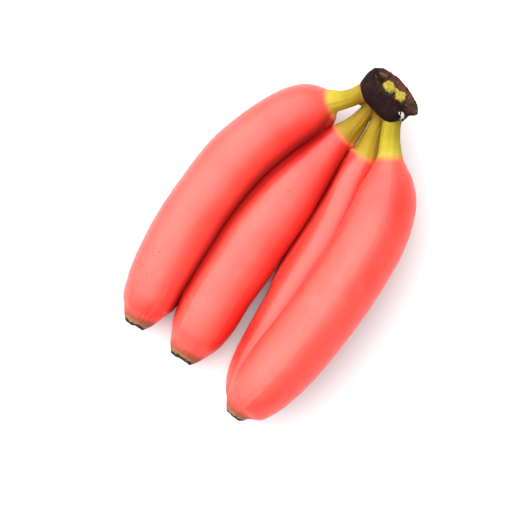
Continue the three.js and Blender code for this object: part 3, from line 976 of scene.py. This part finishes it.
def notch_fibre():
    """One string of the tuft, rooted on the outside of the crown's skin."""
    spot = NOTCH_PLACE + np.append(rng.normal(0, NOTCH_SPREAD, 2), 0)
    beside = np.linalg.norm((crown_skin - spot)[:, :2], axis=1) < ROOT_SEARCH
    root = spot * (1, 1, 0) + (0, 0, crown_skin[beside, 2].max() - ROOT_SINK)
    lean = NOTCH_LEAN + rng.normal(0, NOTCH_LEAN_SPREAD, 3)
    length = rng.uniform(0.9, 2.0)
    return torn_fibre(root, lean, length, FIBRE_THICK * rng.uniform(0.7, 1.3) * NOTCH_THICKER)


def hollow_fibre():
    """One string on the edge of the hollow, leaning out over it."""
    angle = math.radians(rng.uniform(-175, 175))
    across = HOLLOW_HALF_WIDTH * math.cos(angle)
    height = HOLLOW_HALF_HEIGHT * math.sin(angle)
    root = CROWN_CENTRE + across * CROWN_LONG + rng.uniform(3.4, 4.6) * CROWN_OUT + height * CROWN_UP
    lean = CROWN_LONG * math.cos(angle) + CROWN_UP * math.sin(angle) + 0.6 * CROWN_OUT
    length = rng.uniform(1.0, 2.2)
    return torn_fibre(root, lean, length, FIBRE_THICK * rng.uniform(0.7, 1.3))


strings = [notch_fibre() for _ in range(NOTCH_FIBRES)]
strings += [hollow_fibre() for _ in range(HOLLOW_FIBRES)]
in_notch = [np.full(len(verts), float(i < NOTCH_FIBRES)) for i, (verts, _) in enumerate(strings)]
fibres = make_piece("torn_fibres", *all_tubes(strings), {"in_notch": np.concatenate(in_notch)})
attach(fibres, "root")


def paint_fibre():
    paint = Paint("dry_fibre")
    pale = paint.over(FIBRE_WHITE, FIBRE_BEIGE, paint.cloud(0.0012, 2.0), 0.4, 0.6)
    return paint.finished(paint.mix(paint.mark("in_notch"), FIBRE_BROWN, pale), 0.8, 0.2)


fibres.data.materials.append(paint_fibre())

# ----------------------------------------------------------------------
# The studio: a pale table under one broad soft light at the upper left, in a dim white room, and the
# camera straight above the hand, turned so that the crown points to the upper right.

FRAME_WIDTH = 512           # pixels
PIXEL = 0.00055             # m, at SCALE_HEIGHT
SCALE_HEIGHT = 0.025        # m above the table
CAMERA_PLACE = (-0.0033, -0.0228, 0.9)
CAMERA_TURN = math.radians(37)
TABLE_HALF = 4000.0         # mm
TABLE_DROP = 0.2            # mm that its top lies under the fruit
TABLE_WHITE = (0.71, 0.71, 0.72)
TABLE_WHITER = (0.73, 0.73, 0.74)
ROOM_DIM = 0.40             # light from the dim side of the room
ROOM_BRIGHT = 11.8          # the soft light rises towards this; its middle has two fifths of it
LIGHT_FROM = (-0.56, 0.085, 0.823)
LIGHT_EDGE = (0.19, 1.99)   # cosines of the angle from its middle between which it would rise


def table_top():
    corners = TABLE_HALF * np.array([(-1, -1, 0), (1, -1, 0), (1, 1, 0), (-1, 1, 0)])
    table = make_piece("table", corners, [(0, 1, 2, 3)], {})
    table.location.z = -TABLE_DROP * MM
    paint = Paint("white_table")
    white = paint.mix(paint.cloud(0.02), TABLE_WHITE, TABLE_WHITER)
    table.data.materials.append(paint.finished(white, 0.9, 0.0))
    return table


table_top()

room = bpy.data.worlds.new("white_room")
room.use_nodes = True
nodes = room.node_tree.nodes
links = room.node_tree.links
facing_light = nodes.new("ShaderNodeVectorMath")
facing_light.operation = "DOT_PRODUCT"
facing_light.inputs[1].default_value = LIGHT_FROM
links.new(nodes.new("ShaderNodeTexCoord").outputs["Generated"], facing_light.inputs[0])
brightness = nodes.new("ShaderNodeMapRange")
brightness.interpolation_type = "SMOOTHSTEP"
ends = {"From Min": LIGHT_EDGE[0], "From Max": LIGHT_EDGE[1], "To Min": ROOM_DIM, "To Max": ROOM_BRIGHT}
for socket, value in ends.items():
    brightness.inputs[socket].default_value = value
links.new(facing_light.outputs["Value"], brightness.inputs["Value"])
links.new(brightness.outputs["Result"], nodes["Background"].inputs["Strength"])
nodes["Background"].inputs["Color"].default_value = (1, 1, 1, 1)
bpy.context.scene.world = room

lens = bpy.data.cameras.new("camera")
lens.sensor_fit = "HORIZONTAL"
lens.angle = 2 * math.atan(FRAME_WIDTH * PIXEL / 2 / (CAMERA_PLACE[2] - SCALE_HEIGHT))
lens.clip_start = 0.01
camera = bpy.data.objects.new("camera", lens)
camera.location = CAMERA_PLACE
camera.rotation_euler = (0, 0, CAMERA_TURN)
bpy.context.collection.objects.link(camera)
bpy.context.scene.camera = camera
bpy.context.scene.view_settings.view_transform = "Standard"
